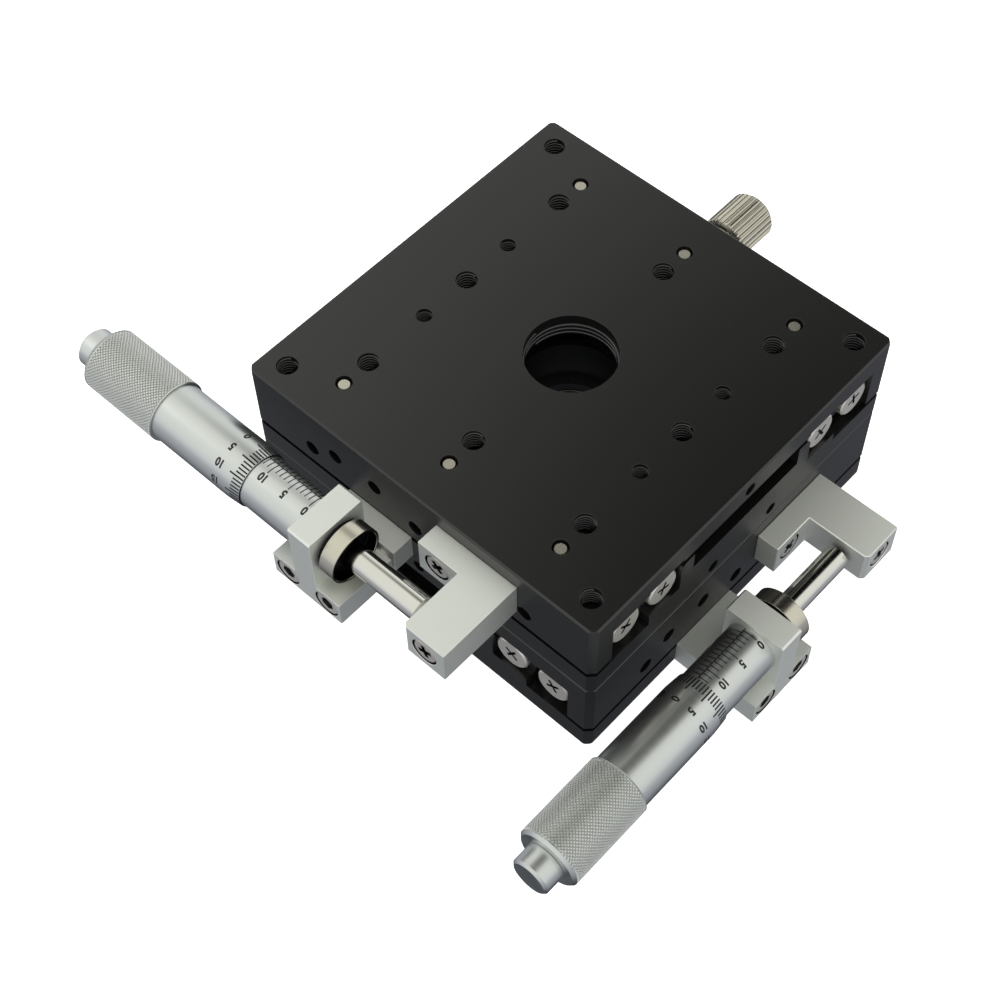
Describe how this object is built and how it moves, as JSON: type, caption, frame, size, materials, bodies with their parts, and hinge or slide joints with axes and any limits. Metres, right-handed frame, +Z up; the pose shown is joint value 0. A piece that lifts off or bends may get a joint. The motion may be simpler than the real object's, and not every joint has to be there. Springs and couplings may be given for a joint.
{
  "type": "mechanical microscope stage",
  "caption": "Low two-axis stage of stacked crossed-roller slides, each pushed by a micrometer head against a bracket and locked by a fluted thumb screw.",
  "frame": {"origin": "centre of the lower base plate's bottom face, which is the centre of its corner hole pattern", "axes": "+Z up, +X along the upper slide's travel and its spindle's feed, +Y along the lower slide's travel and its spindle's feed"},
  "size_m": [0.127, 0.1215, 0.04],
  "materials": {
    "black_anodised": "black anodised, satin",
    "hardened_steel": "ground",
    "polished_steel": "polished",
    "stainless_steel": "turned",
    "black_oxide_steel": "black oxide",
    "blasted_aluminium": "bead blasted, clear anodised",
    "satin_chrome": "satin chrome plated",
    "brass_sheet": "rolled sheet",
    "carbide": "lapped",
    "spring_steel": "drawn wire"
  },
  "bodies": {
    "lower_base": {"y_base": "black_anodised", "y_inner_rails": "hardened_steel", "y_inner_stop_screws": "stainless_steel", "y_inner_rail_screws": "stainless_steel", "y_holder": "blasted_aluminium", "y_holder_screws": "stainless_steel", "y_sleeve": "satin_chrome", "y_clamp_nut": "satin_chrome", "y_lock_strip": "black_anodised", "y_lock_strip_screws": "stainless_steel", "y_return_spring": "spring_steel", "y_fixed_post": "stainless_steel"},
    "middle": {"y_table": "black_anodised", "y_outer_rails": "hardened_steel", "y_outer_stop_screws": "stainless_steel", "y_outer_rail_screws": "stainless_steel", "y_preload_screws": "black_oxide_steel", "y_anvil": "blasted_aluminium", "y_anvil_screws": "stainless_steel", "y_moving_post": "stainless_steel", "stack_screws": "stainless_steel", "x_base": "black_anodised", "x_inner_rails": "hardened_steel", "x_inner_stop_screws": "stainless_steel", "x_inner_rail_screws": "stainless_steel", "x_holder": "blasted_aluminium", "x_holder_screws": "stainless_steel", "x_sleeve": "satin_chrome", "x_clamp_nut": "satin_chrome", "x_lock_strip": "black_anodised", "x_lock_strip_screws": "stainless_steel", "x_return_spring": "spring_steel", "x_fixed_post": "stainless_steel"},
    "top": {"x_table": "black_anodised", "x_outer_rails": "hardened_steel", "x_outer_stop_screws": "stainless_steel", "x_outer_rail_screws": "stainless_steel", "x_preload_screws": "black_oxide_steel", "x_anvil": "blasted_aluminium", "x_anvil_screws": "stainless_steel", "x_moving_post": "stainless_steel"},
    "x_cages": {"x_roller_cages": "brass_sheet", "x_rollers": "polished_steel"},
    "x_feed": {"x_spindle_tip": "carbide"},
    "x_drum": {"x_spindle": "polished_steel", "x_thimble": "satin_chrome", "x_end_cap": "satin_chrome"},
    "x_lock": {"x_lock_screw": "stainless_steel"},
    "y_cages": {"y_roller_cages": "brass_sheet", "y_rollers": "polished_steel"},
    "y_feed": {"y_spindle_tip": "carbide"},
    "y_drum": {"y_spindle": "polished_steel", "y_thimble": "satin_chrome", "y_end_cap": "satin_chrome"},
    "y_lock": {"y_lock_screw": "stainless_steel"}
  },
  "joints": [
    {"name": "y_table_slide", "type": "slide", "parent": "lower_base", "child": "middle", "axis": [0, 1, 0], "range_m": [-0.0125, 0.0125], "deforming": ["y_return_spring"]},
    {"name": "y_cage_slide", "type": "slide", "parent": "lower_base", "child": "y_cages", "axis": [0, 1, 0], "range_m": [-0.00625, 0.00625]},
    {"name": "y_spindle_feed", "type": "slide", "parent": "lower_base", "child": "y_feed", "axis": [0, 1, 0], "range_m": [-0.0125, 0.0125]},
    {"name": "y_thimble_turn", "type": "hinge", "parent": "y_feed", "child": "y_drum", "pos_m": [0.052, 0, 0.013], "axis": [0, 1, 0], "range_deg": [-9000, 9000]},
    {"name": "y_lock_turn", "type": "hinge", "parent": "middle", "child": "y_lock", "pos_m": [-0.04, 0, 0.013], "axis": [-1, 0, 0], "range_deg": [-150, 360]},
    {"name": "x_table_slide", "type": "slide", "parent": "middle", "child": "top", "axis": [1, 0, 0], "range_m": [-0.0125, 0.0125], "deforming": ["x_return_spring"]},
    {"name": "x_cage_slide", "type": "slide", "parent": "middle", "child": "x_cages", "axis": [1, 0, 0], "range_m": [-0.00625, 0.00625]},
    {"name": "x_spindle_feed", "type": "slide", "parent": "middle", "child": "x_feed", "axis": [1, 0, 0], "range_m": [-0.0125, 0.0125]},
    {"name": "x_thimble_turn", "type": "hinge", "parent": "x_feed", "child": "x_drum", "pos_m": [0, -0.052, 0.033], "axis": [1, 0, 0], "range_deg": [-9000, 9000]},
    {"name": "x_lock_turn", "type": "hinge", "parent": "top", "child": "x_lock", "pos_m": [0, 0.04, 0.033], "axis": [0, 1, 0], "range_deg": [-150, 360]}
  ],
  "couplings": [
    {"joint": "y_thimble_turn", "follows": "y_table_slide", "rad_per_m": 12566},
    {"joint": "y_spindle_feed", "follows": "y_table_slide", "ratio": 1},
    {"joint": "y_cage_slide", "follows": "y_table_slide", "ratio": 0.5},
    {"joint": "x_thimble_turn", "follows": "x_table_slide", "rad_per_m": 12566},
    {"joint": "x_spindle_feed", "follows": "x_table_slide", "ratio": 1},
    {"joint": "x_cage_slide", "follows": "x_table_slide", "ratio": 0.5}
  ]
}
